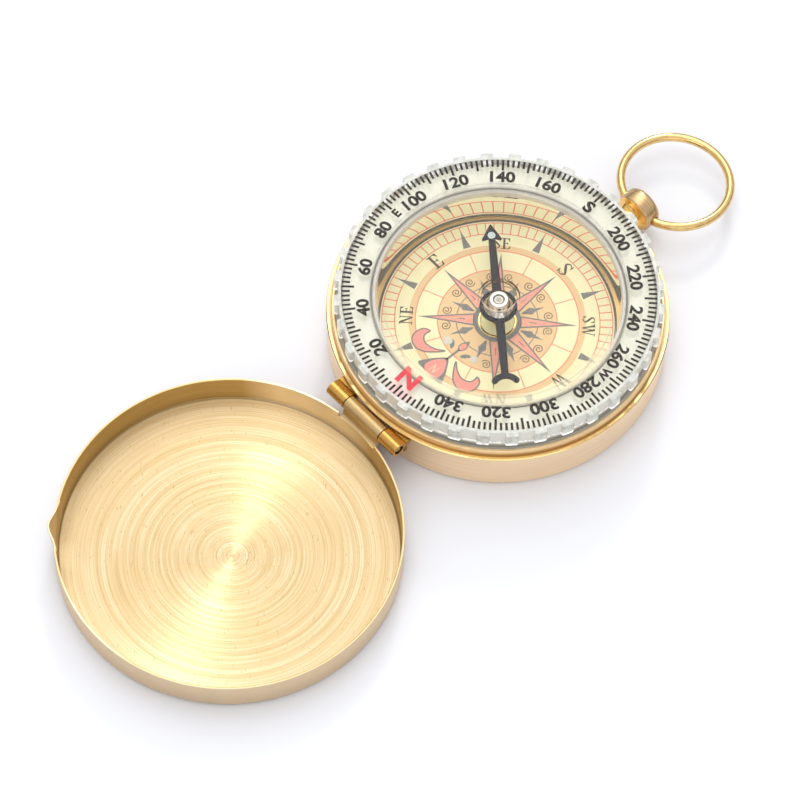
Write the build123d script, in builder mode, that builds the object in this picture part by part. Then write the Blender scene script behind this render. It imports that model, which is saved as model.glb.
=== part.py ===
"""Pocket geology compass: a flip-lid brass case with a turning degree bezel, a pivoted needle and a bow ring.

Millimetres. The origin is the centre of the case's bottom face, +Z is up through the dial and +X points at
the crown. The lid lies open and flat on the -X side, which is the rest pose.
"""

import math
import os

from build123d import *

# ---------------------------------------------------------------- driving dimensions
CASE_R = 23.8  # outside of the case wall
CASE_WALL = 0.5
CASE_FLOOR = 0.6
LEDGE_Z = 7.4  # top of the case wall, where the closed lid rests
BEAD_R = 24.0  # rolled bead round the case mouth
BEAD_HEIGHT = 0.45

COLLAR_TOP = 8.4  # the closed lid slips over this collar
COLLAR_WALL = 0.55

BEZEL_TOP = 12.0
BEZEL_R = 22.3  # plain part of the bezel
BEZEL_WALL = 0.45
BEZEL_PLATE = 0.9  # thickness of the clear face of the bezel
BEZEL_FOOT_Z = 8.4
BEZEL_FOOT_R = 22.1  # the wall steps in below the scallops
GRIP_R = 22.95  # crown of each scallop
GRIP_COUNT = 36
GRIP_ARC = 4.4  # degrees that one scallop spans
GRIP_START = 1.0  # azimuth of the first scallop, in degrees
GRIP_DEPTH = 2.4

CAPSULE_R = 17.6  # outside of the capsule wall, which the bezel turns on
CAPSULE_WALL = 0.5
WINDOW_T = 1.0
WINDOW_LIP_R = 18.05  # the lip keeps the bezel from lifting off
WINDOW_LIP_T = 0.3
RUNNING_FIT = 0.08

DIAL_Z = 4.3  # top of the printed card
DIAL_R = 16.8
CARD_T = 0.2
DIAL_PLATE_T = 0.7
HUB_HOLE_R = 2.75

NEEDLE_Z = 8.1
NEEDLE_T = 0.25
NEEDLE_AZIMUTH = 51.4  # where the arrow points, from +X towards +Y
NEEDLE_TIP = 13.4
NEEDLE_TAIL = 11.2

HINGE_X = -25.05
HINGE_Z = 6.35
HINGE_R = 1.1
HINGE_PIN_R = 0.45
HINGE_FIT = 0.04
HINGE_HALF = 6.8  # half of the barrel's whole length
LID_KNUCKLE_HALF = 3.45
KNUCKLE_GAP = 0.15
KNUCKLE_RECESS_R = 0.76  # the rolled sheet shows as a ring at each end of the barrel
KNUCKLE_RECESS = 0.4
LEAF_DROP = 3.2  # how far each hinge leaf reaches below the hinge axis
LEAF_CURL_R = 0.85  # the lid's leaf curls out over the cut-away rim with this radius
CASE_LEAF_T = 0.4
CASE_LEAF_HALF = 6.2

LID_R = 23.85
LID_SHEET = 0.35
LID_DEPTH = 5.15
LID_GAP = 0.04  # between the closed lid's rim and the ledge
LID_NOTCH_DEPTH = 0.9  # the rim is cut away this deep at the hinge
LID_NOTCH_SLIT = 0.12  # between each side of the notch and the leaf in it
THUMB_AZIMUTH = 136.0  # about the open lid's centre, from +X towards +Y
THUMB_OUT = 0.9
THUMB_HALF_ARC = 9.5  # degrees
THUMB_HEIGHT = 4.0

CROWN_Z = 4.1
CROWN_R = 2.95
CROWN_END_X = 29.3
CROWN_SCREW_R = 0.72
BOW_X = 28.02  # the bow's pivot line
BOW_WIRE_R = 0.63
BOW_R = 7.9
BOW_HALF_GAP = 3.2  # where the round of the wire ends, each side of the crown
BOW_PIN_DEPTH = 1.2  # the bow's ends stop this far from the crown's axis
BOW_DROOP = 4.0  # degrees below level at rest

# ---------------------------------------------------------------- derived dimensions
CASE_INNER = CASE_R - CASE_WALL
COLLAR_INNER = CASE_INNER - COLLAR_WALL
PLATE_TOP = DIAL_Z - CARD_T
SEAT_Z = PLATE_TOP - DIAL_PLATE_T  # raised floor of the housing, under the dial plate
HOUSING_T = 1.0
PAD_T = 0.6
WINDOW_BOTTOM = BEZEL_TOP - WINDOW_T
NEEDLE_TOP = NEEDLE_Z + NEEDLE_T
LID_X = 2 * HINGE_X
LID_RIM_Z = 2 * HINGE_Z - LEDGE_Z - LID_GAP
LID_FLOOR_Z = LID_RIM_Z - LID_DEPTH
LID_NOTCH_Z = LID_RIM_Z - LID_NOTCH_DEPTH

os.makedirs("parts", exist_ok=True)


def save(part, label):
    """Labels one finished piece and writes it as its own STEP file."""
    part.label = label
    export_step(part, f"parts/{label}.step")


def ring_section(inner, outer, bottom, top):
    """A rectangle from radius inner to outer in the open sketch, to revolve about Z."""
    with Locations(((inner + outer) / 2, (bottom + top) / 2)):
        Rectangle(outer - inner, top - bottom)


def polar_point(radius, degrees):
    """The point at a radius and an angle."""
    return (radius * math.cos(math.radians(degrees)), radius * math.sin(math.radians(degrees)))


# ---------------------------------------------------------------- base case
# A spun brass cup with its mouth rolled out into a small bead. The crown's screw passes through its wall.
WALL_HOLE_R = CROWN_SCREW_R + 0.08

with BuildPart() as base_case:
    with BuildSketch(Plane.XZ):
        with BuildLine():
            Polyline(
                (0, 0),
                (CASE_R - 0.8, 0),
                (CASE_R - 0.25, 0.2),
                (CASE_R, 0.8),
                (CASE_R, LEDGE_Z - BEAD_HEIGHT),
                (BEAD_R, LEDGE_Z - BEAD_HEIGHT + 0.12),
                (BEAD_R, LEDGE_Z - 0.12),
                (BEAD_R - 0.12, LEDGE_Z),
                (CASE_INNER, LEDGE_Z),
                (CASE_INNER, CASE_FLOOR),
                (0, CASE_FLOOR),
                close=True,
            )
        make_face()
    revolve(axis=Axis.Z)
    with BuildSketch(Plane.YZ.offset(CASE_INNER - 1)):
        with Locations((0, CROWN_Z)):
            Circle(WALL_HOLE_R)
    extrude(amount=3, mode=Mode.SUBTRACT)
save(base_case.part, "base_case")

# ---------------------------------------------------------------- case collar
# Pressed into the case mouth. It holds the housing down and guides the closed lid.
COLLAR_FOOT_Z = 6.4

with BuildPart() as case_collar:
    with BuildSketch(Plane.XZ):
        ring_section(COLLAR_INNER, CASE_INNER, COLLAR_FOOT_Z, COLLAR_TOP)
    revolve(axis=Axis.Z)
    chamfer(case_collar.edges().group_by(Axis.Z)[-1], 0.12)
save(case_collar.part, "case_collar")

# ---------------------------------------------------------------- base pad
with BuildPart() as base_pad:
    with BuildSketch(Plane.XY.offset(CASE_FLOOR)):
        Circle(CASE_INNER - 0.3)
    extrude(amount=PAD_T)
save(base_pad.part, "base_pad")

# ---------------------------------------------------------------- capsule housing
# A moulded tray: an outer wall that stands on the pad, a channel, and an inner wall round the capsule seat.
HOUSING_R = 22.6
HOUSING_TOP = 8.0
HOUSING_OUTER_WALL = 1.0
HOUSING_INNER_WALL = 0.8
RIVET_R = 0.7

with BuildPart() as capsule_housing:
    with BuildSketch(Plane.XZ):
        ring_section(RIVET_R, HOUSING_R, SEAT_Z - HOUSING_T, SEAT_Z)
        ring_section(HOUSING_R - HOUSING_OUTER_WALL, HOUSING_R, CASE_FLOOR + PAD_T, HOUSING_TOP)
        ring_section(HOUSING_R - HOUSING_OUTER_WALL, COLLAR_INNER, COLLAR_FOOT_Z, HOUSING_TOP)
        ring_section(CAPSULE_R, CAPSULE_R + HOUSING_INNER_WALL, SEAT_Z - HOUSING_T, HOUSING_TOP)
    revolve(axis=Axis.Z)
save(capsule_housing.part, "capsule_housing")

# ---------------------------------------------------------------- dial
with BuildPart() as dial_plate:
    with BuildSketch(Plane.XY.offset(SEAT_Z)):
        Circle(CAPSULE_R - CAPSULE_WALL)
        Circle(RIVET_R, mode=Mode.SUBTRACT)
    extrude(amount=DIAL_PLATE_T)
save(dial_plate.part, "dial_plate")

with BuildPart() as dial_card:
    with BuildSketch(Plane.XY.offset(PLATE_TOP)):
        Circle(DIAL_R)
        Circle(HUB_HOLE_R, mode=Mode.SUBTRACT)
    extrude(amount=CARD_T)
save(dial_card.part, "dial_card")

FERRULE_INNER = HUB_HOLE_R - 0.35
FERRULE_TOP = DIAL_Z + 0.12

with BuildPart() as hub_ferrule:
    with BuildSketch(Plane.XZ):
        ring_section(FERRULE_INNER, HUB_HOLE_R, PLATE_TOP, FERRULE_TOP)
    revolve(axis=Axis.Z)
    fillet(hub_ferrule.edges().group_by(Axis.Z)[-1], 0.1)
save(hub_ferrule.part, "hub_ferrule")

with BuildPart() as hub_disc:
    with BuildSketch(Plane.XY.offset(PLATE_TOP)):
        Circle(FERRULE_INNER)
        Circle(RIVET_R, mode=Mode.SUBTRACT)
    extrude(amount=0.1)
save(hub_disc.part, "hub_disc")

# ---------------------------------------------------------------- needle pivot
# A brass post riveted through the plate and the housing floor, with a pointed steel pin pressed into it.
POST_TOP = 6.8
PIN_R = 0.3
PIN_FOOT_Z = 5.2
PIN_TIP_Z = 9.4
PIN_CONE = 0.8

with BuildPart() as pivot_post:
    with BuildSketch(Plane.XZ):
        with BuildLine():
            Polyline(
                (0, SEAT_Z - HOUSING_T - 0.3),
                (1.3, SEAT_Z - HOUSING_T - 0.3),
                (1.3, SEAT_Z - HOUSING_T),
                (RIVET_R, SEAT_Z - HOUSING_T),
                (RIVET_R, POST_TOP - 0.5),
                (PIN_R + 0.1, POST_TOP),
                (PIN_R, POST_TOP),
                (PIN_R, PIN_FOOT_Z),
                (0, PIN_FOOT_Z),
                close=True,
            )
        make_face()
    revolve(axis=Axis.Z)
save(pivot_post.part, "pivot_post")

with BuildPart() as pivot_pin:
    with BuildSketch(Plane.XZ):
        with BuildLine():
            Polyline(
                (0, PIN_FOOT_Z),
                (PIN_R, PIN_FOOT_Z),
                (PIN_R, PIN_TIP_Z - PIN_CONE),
                (0.05, PIN_TIP_Z),
                (0, PIN_TIP_Z),
                close=True,
            )
        make_face()
    revolve(axis=Axis.Z)
save(pivot_pin.part, "pivot_pin")

# ---------------------------------------------------------------- capsule wall and window
with BuildPart() as capsule_wall:
    with BuildSketch(Plane.XZ):
        ring_section(CAPSULE_R - CAPSULE_WALL, CAPSULE_R, SEAT_Z, WINDOW_BOTTOM)
    revolve(axis=Axis.Z)
save(capsule_wall.part, "capsule_wall")

# The ring moulded under the window stands round the needle's cap and keeps it on its pin.
BOSS_INNER = 2.5
BOSS_OUTER = 2.9
BOSS_DROP = 0.45

with BuildPart() as window:
    with BuildSketch(Plane.XZ):
        ring_section(0, CAPSULE_R, WINDOW_BOTTOM, BEZEL_TOP)
        ring_section(0, WINDOW_LIP_R, BEZEL_TOP - WINDOW_LIP_T, BEZEL_TOP)
        ring_section(BOSS_INNER, BOSS_OUTER, WINDOW_BOTTOM - BOSS_DROP, WINDOW_BOTTOM)
    revolve(axis=Axis.Z)
    fillet(window.edges().group_by(Axis.Z)[-1], 0.08)
save(window.part, "window")

# ---------------------------------------------------------------- turning bezel
BEZEL_BORE = CAPSULE_R + RUNNING_FIT
REBATE_R = WINDOW_LIP_R + 0.1
REBATE_Z = BEZEL_TOP - WINDOW_LIP_T - 0.1
SKIRT_R = BEZEL_R - BEZEL_WALL
PLATE_UNDER = BEZEL_TOP - BEZEL_PLATE
GRIP_FOOT_Z = BEZEL_TOP - GRIP_DEPTH
GRIP_ROOT_R = BEZEL_R - BEZEL_WALL / 2

with BuildPart() as bezel_ring:
    with BuildSketch(Plane.XZ):
        ring_section(BEZEL_BORE, BEZEL_R, PLATE_UNDER, BEZEL_TOP)
        ring_section(SKIRT_R, BEZEL_R, GRIP_FOOT_Z, PLATE_UNDER)
        ring_section(SKIRT_R, BEZEL_FOOT_R, BEZEL_FOOT_Z, GRIP_FOOT_Z)
        with Locations(((BEZEL_BORE + REBATE_R) / 2, (REBATE_Z + BEZEL_TOP) / 2)):
            Rectangle(REBATE_R - BEZEL_BORE, BEZEL_TOP - REBATE_Z, mode=Mode.SUBTRACT)
    revolve(axis=Axis.Z)
    with BuildSketch(Plane.XY.offset(GRIP_FOOT_Z)):
        with PolarLocations(0, GRIP_COUNT, start_angle=GRIP_START):
            Polygon(
                polar_point(GRIP_ROOT_R, -GRIP_ARC / 2),
                polar_point(GRIP_R - 0.12, -GRIP_ARC / 2),
                polar_point(GRIP_R, -GRIP_ARC / 2 + 0.45),
                polar_point(GRIP_R + 0.01, 0),
                polar_point(GRIP_R, GRIP_ARC / 2 - 0.45),
                polar_point(GRIP_R - 0.12, GRIP_ARC / 2),
                polar_point(GRIP_ROOT_R, GRIP_ARC / 2),
                align=None,
            )
    extrude(amount=GRIP_DEPTH)
save(bezel_ring.part, "bezel_ring")

# The silvered ring under the clear bezel, with a skirt down its inside.
with BuildPart() as bezel_scale_ring:
    with BuildSketch(Plane.XZ):
        ring_section(CAPSULE_R + 0.3, SKIRT_R, PLATE_UNDER - 0.3, PLATE_UNDER)
        ring_section(SKIRT_R - 0.3, SKIRT_R, BEZEL_FOOT_Z + 0.2, PLATE_UNDER)
    revolve(axis=Axis.Z)
save(bezel_scale_ring.part, "bezel_scale_ring")

# A soft ring on the housing, under the bezel's foot, that makes it turn firmly.
with BuildPart() as bezel_friction_ring:
    with BuildSketch(Plane.XZ):
        ring_section(SKIRT_R - 0.2, BEZEL_R, HOUSING_TOP, BEZEL_FOOT_Z - 0.03)
    revolve(axis=Axis.Z)
save(bezel_friction_ring.part, "bezel_friction_ring")

# ---------------------------------------------------------------- needle
# A flat magnetised needle: an arrowhead, a ring round the hub, and a tail that ends in a curved crossbar.
HUB_RING_R = 2.65
SPIGOT_R = 1.2
ARROW_BASE = 11.0
ARROW_HALF = 1.25
CROSSBAR_R = 1.875
CROSSBAR_HALF = 0.425
CROSSBAR_HALF_ARC = 53
DOT_AT = 11.6
DOT_R = 0.55

needle_plane = Plane(
    origin=(0, 0, NEEDLE_Z),
    x_dir=(*polar_point(1, NEEDLE_AZIMUTH), 0),
    z_dir=(0, 0, 1),
)

crossbar_centre = (-NEEDLE_TAIL - CROSSBAR_R, 0)


def crossbar_point(radius, degrees):
    """A point on the crossbar, from its arc's centre, in the needle's own plane."""
    x, y = polar_point(radius, degrees)
    return (crossbar_centre[0] + x, y)


with BuildPart() as needle:
    with BuildSketch(needle_plane):
        Polygon(
            (ARROW_BASE, -ARROW_HALF),
            (NEEDLE_TIP - 0.15, 0),
            (ARROW_BASE, ARROW_HALF),
            (ARROW_BASE + 0.35, 0),
            align=None,
        )
        offset(amount=0.15)
        Polygon((2, -0.68), (2, 0.68), (ARROW_BASE + 0.5, 0.46), (ARROW_BASE + 0.5, -0.46), align=None)
        Polygon((-2, -0.66), (-2, 0.66), (-NEEDLE_TAIL, 0.5), (-NEEDLE_TAIL, -0.5), align=None)
        with BuildLine():
            for radius in (CROSSBAR_R + CROSSBAR_HALF, CROSSBAR_R - CROSSBAR_HALF):
                CenterArc(crossbar_centre, radius, -CROSSBAR_HALF_ARC, 2 * CROSSBAR_HALF_ARC)
            for end in (-CROSSBAR_HALF_ARC, CROSSBAR_HALF_ARC):
                Line(
                    crossbar_point(CROSSBAR_R - CROSSBAR_HALF, end),
                    crossbar_point(CROSSBAR_R + CROSSBAR_HALF, end),
                )
        make_face()
        with Locations(*(crossbar_point(CROSSBAR_R, end) for end in (-CROSSBAR_HALF_ARC, CROSSBAR_HALF_ARC))):
            Circle(CROSSBAR_HALF)
        Circle(HUB_RING_R)
        Circle(SPIGOT_R, mode=Mode.SUBTRACT)
    extrude(amount=NEEDLE_T)
save(needle.part, "needle")

with BuildPart() as needle_luminous_dot:
    with BuildSketch(needle_plane.offset(NEEDLE_T)):
        with Locations((DOT_AT, 0)):
            Circle(DOT_R)
    extrude(amount=0.06)
save(needle_luminous_dot.part, "needle_luminous_dot")

# The nickel cap sits on the needle's ring, with its jewel on the pin's point.
CAP_FOOT_R = 2.1
CAP_TOP_R = 1.45
CAP_TOP = 10.15
CAP_BORE_R = 0.85
JEWEL_Z = 9.3
JEWEL_T = 0.3

with BuildPart() as needle_cap:
    with BuildSketch(Plane.XZ):
        with BuildLine():
            Polyline(
                (CAP_BORE_R, NEEDLE_Z - 0.1),
                (SPIGOT_R, NEEDLE_Z - 0.1),
                (SPIGOT_R, NEEDLE_TOP),
                (CAP_FOOT_R, NEEDLE_TOP),
                (CAP_FOOT_R, NEEDLE_TOP + 0.15),
                (CAP_TOP_R + 0.18, NEEDLE_TOP + 0.75),
                (CAP_TOP_R, CAP_TOP - 0.2),
                (CAP_TOP_R - 0.2, CAP_TOP),
                (CAP_BORE_R, CAP_TOP),
                (CAP_BORE_R - 0.08, CAP_TOP - 0.15),
                (0, CAP_TOP - 0.15),
                (0, JEWEL_Z + JEWEL_T),
                (CAP_BORE_R, JEWEL_Z + JEWEL_T),
                close=True,
            )
        make_face()
    revolve(axis=Axis.Z)
save(needle_cap.part, "needle_cap")

with BuildPart() as needle_jewel:
    with BuildSketch(Plane.XZ):
        with BuildLine():
            Polyline(
                (0, JEWEL_Z + 0.2),
                (0.35, JEWEL_Z),
                (CAP_BORE_R, JEWEL_Z),
                (CAP_BORE_R, JEWEL_Z + JEWEL_T),
                (0, JEWEL_Z + JEWEL_T),
                close=True,
            )
        make_face()
    revolve(axis=Axis.Z)
save(needle_jewel.part, "needle_jewel")

# ---------------------------------------------------------------- lid
# A thin spun cup. The wall is pushed out at one place to make a thumb catch that fades towards the floor.


def thumb_section(wall_r, peak_r, root_r, height):
    """The thumb catch at one height: a smooth bump that leaves the wall at wall_r and peaks at peak_r."""
    plane = Plane(
        origin=(LID_X, 0, height),
        x_dir=(*polar_point(1, THUMB_AZIMUTH), 0),
        z_dir=(0, 0, 1),
    )
    start = polar_point(wall_r, -THUMB_HALF_ARC)
    end = polar_point(wall_r, THUMB_HALF_ARC)
    lean = math.radians(THUMB_HALF_ARC)
    with BuildSketch(plane) as section:
        with BuildLine():
            Spline(
                start,
                (peak_r, 0),
                end,
                tangents=[(math.sin(lean), math.cos(lean)), (-math.sin(lean), math.cos(lean))],
            )
            Polyline(end, polar_point(root_r, THUMB_HALF_ARC), polar_point(root_r, -THUMB_HALF_ARC), start)
        make_face()
    return section.sketch.face()


THUMB_FOOT_Z = LID_RIM_Z - THUMB_HEIGHT
LID_INNER = LID_R - LID_SHEET
BLEND = 0.1  # the catch's roots start this far inside each wall surface
catch_outside = [
    thumb_section(LID_R - BLEND, LID_R + THUMB_OUT, LID_INNER - 0.6, LID_RIM_Z),
    thumb_section(LID_R - BLEND, LID_R - BLEND + 0.02, LID_INNER - 0.6, THUMB_FOOT_Z),
]
catch_inside = [
    thumb_section(LID_INNER - BLEND, LID_INNER + THUMB_OUT, LID_INNER - 1.2, LID_RIM_Z),
    thumb_section(LID_INNER - BLEND, LID_INNER - BLEND + 0.02, LID_INNER - 1.2, THUMB_FOOT_Z),
]

with BuildPart() as lid:
    with BuildSketch(Plane(origin=(LID_X, 0, 0), x_dir=(1, 0, 0), z_dir=(0, -1, 0))):
        ring_section(0, LID_R, LID_FLOOR_Z, LID_RIM_Z)
        with Locations((LID_INNER / 2, (LID_FLOOR_Z + LID_SHEET + LID_RIM_Z) / 2)):
            Rectangle(LID_INNER, LID_DEPTH - LID_SHEET, mode=Mode.SUBTRACT)
    revolve(axis=Axis((LID_X, 0, 0), (0, 0, 1)))
    fillet(lid.edges().group_by(Axis.Z)[0], 0.75)
    inner_corner = lid.edges().filter_by(GeomType.CIRCLE).filter_by(
        lambda edge: abs(edge.radius - LID_INNER) < 0.01 and edge.center().Z < LID_FLOOR_Z + 1
    )
    fillet(inner_corner, 0.3)
    loft(sections=catch_outside)
    loft(sections=catch_inside, mode=Mode.SUBTRACT)
    with BuildSketch(Plane.XY.offset(LID_NOTCH_Z)):
        with Locations((LID_X + LID_R, 0)):
            Rectangle(4, 2 * (LID_KNUCKLE_HALF + LID_NOTCH_SLIT))
    extrude(amount=2 * LID_NOTCH_DEPTH, mode=Mode.SUBTRACT)
save(lid.part, "lid")

# ---------------------------------------------------------------- hinge
# Three knuckles on one pin. The middle one is the lid's; the outer two stand on one leaf on the case.
BORE_R = HINGE_PIN_R + HINGE_FIT
hinge_section = Plane(origin=(HINGE_X, 0, HINGE_Z), x_dir=(1, 0, 0), z_dir=(0, -1, 0))

# The lid's leaf lies against the wall outside, fills the notch in the rim and curls out into the barrel.
LEAF_FACE_X = -0.95  # the leaf's face towards the lid, above the rim, and its back below the barrel
LEAF_BACK_X = -0.75
LEAF_REACH_X = -2.1  # inside the lid's wall, which trims the leaf
CURL_TOP = (LEAF_FACE_X, LID_RIM_Z - HINGE_Z)
CURL_FOOT = (CURL_TOP[0] - LEAF_CURL_R, CURL_TOP[1] - LEAF_CURL_R)

with BuildPart() as lid_hinge_leaf:
    with BuildSketch(hinge_section):
        with BuildLine():
            RadiusArc(CURL_TOP, CURL_FOOT, LEAF_CURL_R)
            Polyline(
                CURL_FOOT,
                (LEAF_REACH_X, CURL_FOOT[1]),
                (LEAF_REACH_X, -LEAF_DROP),
                (LEAF_BACK_X, -LEAF_DROP),
                (LEAF_BACK_X, -1.3),
                (-0.45, -0.9),
                (-0.3, 0),
                (LEAF_FACE_X, 0),
                CURL_TOP,
            )
        make_face()
        Circle(HINGE_R)
        Circle(BORE_R, mode=Mode.SUBTRACT)
    extrude(amount=LID_KNUCKLE_HALF, both=True)
    with BuildSketch(Plane(origin=(LID_X, 0, 0))):
        Circle(LID_INNER)
    extrude(amount=2 * LID_DEPTH, mode=Mode.SUBTRACT)
    with BuildSketch(Plane(origin=(LID_X, 0, 0))):
        Circle(LID_R)
    extrude(amount=LID_NOTCH_Z, mode=Mode.SUBTRACT)
save(lid_hinge_leaf.part, "lid_hinge_leaf")

with BuildPart() as case_hinge_leaf:
    with BuildSketch(Plane.XY.offset(HINGE_Z - LEAF_DROP)):
        Circle(CASE_R + CASE_LEAF_T)
        Circle(CASE_R, mode=Mode.SUBTRACT)
        with Locations((-CASE_R, 0)):
            Rectangle(6, 2 * CASE_LEAF_HALF, mode=Mode.INTERSECT)
    extrude(amount=LEAF_DROP + 0.5)
    with BuildSketch(hinge_section):
        Circle(HINGE_R)
        Polygon(
            (0.3, 0),
            (3.2, 0),
            (3.2, 0.5),
            (1.35, 0.5),
            (0.75, 0.8),
            (0.3, 0.8),
            align=None,
        )
        Circle(BORE_R, mode=Mode.SUBTRACT)
    extrude(amount=HINGE_HALF, both=True)
    with BuildSketch(hinge_section):
        with Locations((0, 0.5)):
            Rectangle(5, 4.0)
    extrude(amount=LID_KNUCKLE_HALF + KNUCKLE_GAP, both=True, mode=Mode.SUBTRACT)
    with BuildSketch(Plane.XY):
        Circle(CASE_R)
    extrude(amount=2 * LEDGE_Z, mode=Mode.SUBTRACT)
    with BuildSketch(hinge_section.offset(HINGE_HALF - KNUCKLE_RECESS), hinge_section.offset(-HINGE_HALF)):
        Circle(KNUCKLE_RECESS_R)
    extrude(amount=KNUCKLE_RECESS, mode=Mode.SUBTRACT)
save(case_hinge_leaf.part, "case_hinge_leaf")

PIN_SHORT = 0.12  # the pin's rounded ends stop this far inside the barrel's ends

with BuildPart() as hinge_pin:
    with BuildSketch(hinge_section):
        Circle(HINGE_PIN_R)
    extrude(amount=HINGE_HALF - PIN_SHORT, both=True)
    end_rims = hinge_pin.edges().filter_by(GeomType.CIRCLE).group_by(Axis.Y)
    fillet(end_rims[0], 0.15)
    fillet(end_rims[-1], 0.15)
save(hinge_pin.part, "hinge_pin")

# ---------------------------------------------------------------- crown
# A turned knob: a stem on the case, a hollow flare, and a band with a rounded end that the bow pivots in.
crown_axis = Axis((0, 0, CROWN_Z), (1, 0, 0))
crown_section = Plane(origin=(0, 0, CROWN_Z), x_dir=(1, 0, 0), z_dir=(0, -1, 0))
SCREW_END_X = 26.2
BAND_X = 26.7
STEM_R = 1.75

with BuildPart() as crown:
    with BuildSketch(crown_section):
        with BuildLine():
            Polyline((CASE_R, 0), (CASE_R, STEM_R), (24.6, STEM_R))
            ThreePointArc((24.6, STEM_R), (25.8, 2.05), (BAND_X - 0.1, CROWN_R - 0.15))
            Polyline(
                (BAND_X - 0.1, CROWN_R - 0.15),
                (BAND_X + 0.12, CROWN_R),
                (CROWN_END_X, CROWN_R),
                (CROWN_END_X, 0),
                (CASE_R, 0),
            )
        make_face()
    revolve(axis=crown_axis)
    fillet(crown.edges().group_by(Axis.X)[-1], 0.7)
    with BuildSketch(Plane(origin=(CASE_R, 0, CROWN_Z), x_dir=(0, 1, 0), z_dir=(1, 0, 0))):
        Circle(CROWN_SCREW_R + 0.02)
    extrude(amount=SCREW_END_X - CASE_R + 0.2, mode=Mode.SUBTRACT)
    for side in (1, -1):
        with BuildSketch(Plane(origin=(BOW_X, side * (BOW_PIN_DEPTH - 0.1), CROWN_Z), z_dir=(0, side, 0))):
            Circle(BOW_WIRE_R + RUNNING_FIT)
        extrude(amount=CROWN_R, mode=Mode.SUBTRACT)
save(crown.part, "crown")

SCREW_HEAD_R = 1.5
SCREW_HEAD_T = 0.4

with BuildPart() as crown_screw:
    screw_foot = (CASE_INNER - SCREW_HEAD_T - 0.1, 0, CROWN_Z)
    with BuildSketch(Plane(origin=screw_foot, x_dir=(0, 1, 0), z_dir=(1, 0, 0))):
        Circle(SCREW_HEAD_R)
    extrude(amount=SCREW_HEAD_T)
    with BuildSketch(Plane(origin=(CASE_INNER - 0.2, 0, CROWN_Z), x_dir=(0, 1, 0), z_dir=(1, 0, 0))):
        Circle(CROWN_SCREW_R)
    extrude(amount=SCREW_END_X - CASE_INNER + 0.2)
save(crown_screw.part, "crown_screw")

# ---------------------------------------------------------------- bow ring
# A round of wire whose two ends turn in the crown's side holes.
bow_plane = Plane(
    origin=(BOW_X, 0, CROWN_Z),
    x_dir=(math.cos(math.radians(BOW_DROOP)), 0, -math.sin(math.radians(BOW_DROOP))),
    z_dir=(math.sin(math.radians(BOW_DROOP)), 0, math.cos(math.radians(BOW_DROOP))),
)
bow_centre = math.sqrt(BOW_R**2 - BOW_HALF_GAP**2)
bow_half_arc = 180 - math.degrees(math.asin(BOW_HALF_GAP / BOW_R))

with BuildPart() as bow_ring:
    with BuildLine(bow_plane):
        round_path = CenterArc((bow_centre, 0), BOW_R, -bow_half_arc, 2 * bow_half_arc)
    with BuildSketch(Plane(origin=round_path @ 0, z_dir=round_path % 0)):
        Circle(BOW_WIRE_R)
    sweep()
    for side in (1, -1):
        with BuildSketch(Plane(origin=(BOW_X, side * BOW_PIN_DEPTH, CROWN_Z), z_dir=(0, side, 0))):
            Circle(BOW_WIRE_R)
        extrude(amount=BOW_HALF_GAP - BOW_PIN_DEPTH)
        with Locations((BOW_X, side * BOW_HALF_GAP, CROWN_Z)):
            Sphere(BOW_WIRE_R)
save(bow_ring.part, "bow_ring")
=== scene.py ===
"""Looks of the pocket compass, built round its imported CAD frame.

Metres, +Z up and +X from the hinge to the crown, as in the frame. Lengths are written in millimetres and
scaled by MM, except in the materials, whose nodes work in millimetres. Bearings on the dial and on the bezel
run clockwise from their north marks.
"""

import math

import bmesh
import bpy
from mathutils import Matrix, Vector
from mathutils.geometry import tessellate_polygon


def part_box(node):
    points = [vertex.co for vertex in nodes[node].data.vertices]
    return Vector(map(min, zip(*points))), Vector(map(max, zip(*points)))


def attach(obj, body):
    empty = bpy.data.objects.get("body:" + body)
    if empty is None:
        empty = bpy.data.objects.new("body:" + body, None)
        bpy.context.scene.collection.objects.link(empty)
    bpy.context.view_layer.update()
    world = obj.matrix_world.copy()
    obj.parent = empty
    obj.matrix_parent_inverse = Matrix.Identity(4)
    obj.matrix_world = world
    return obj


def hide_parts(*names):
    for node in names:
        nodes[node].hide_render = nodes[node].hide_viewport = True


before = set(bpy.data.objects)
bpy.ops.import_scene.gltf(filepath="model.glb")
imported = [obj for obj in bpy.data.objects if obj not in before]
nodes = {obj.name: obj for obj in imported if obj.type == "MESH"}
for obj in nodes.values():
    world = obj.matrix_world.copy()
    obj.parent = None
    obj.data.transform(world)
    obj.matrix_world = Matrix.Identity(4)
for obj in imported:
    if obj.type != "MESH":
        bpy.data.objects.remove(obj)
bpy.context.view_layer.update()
MM = 0.001

# ---------------------------------------- places read from the frame
CARD_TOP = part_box("dial_card")[1].z
CARD_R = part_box("dial_card")[1].x
PLATE_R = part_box("dial_plate")[1].x
BEZEL_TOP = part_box("bezel_ring")[1].z
SCALE_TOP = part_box("bezel_scale_ring")[1].z
SCALE_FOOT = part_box("bezel_scale_ring")[0].z
SCALE_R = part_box("bezel_scale_ring")[1].x
WALL_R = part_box("capsule_wall")[1].x
WALL_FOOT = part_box("capsule_wall")[0].z
WALL_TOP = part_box("capsule_wall")[1].z
lid_low, lid_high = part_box("lid")
LID_CENTRE = Vector(((lid_low.x + lid_high.x) / 2, (lid_low.y + lid_high.y) / 2, 0))
crown_low, crown_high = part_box("crown")
CROWN_CENTRE = Vector((0, 0, (crown_low.z + crown_high.z) / 2))
pin_low, pin_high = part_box("hinge_pin")
HINGE_CENTRE = (pin_low + pin_high) / 2

CASE_AXIS = Vector((0, 0, 0))
TURN_CENTRE = LID_CENTRE + Vector((-0.65, -1.28, 0)) * MM  # the lid's sheet was turned before it was pressed
ROLLING_TURN = math.radians(-45)  # turns the sheet's rolling direction onto X

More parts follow.
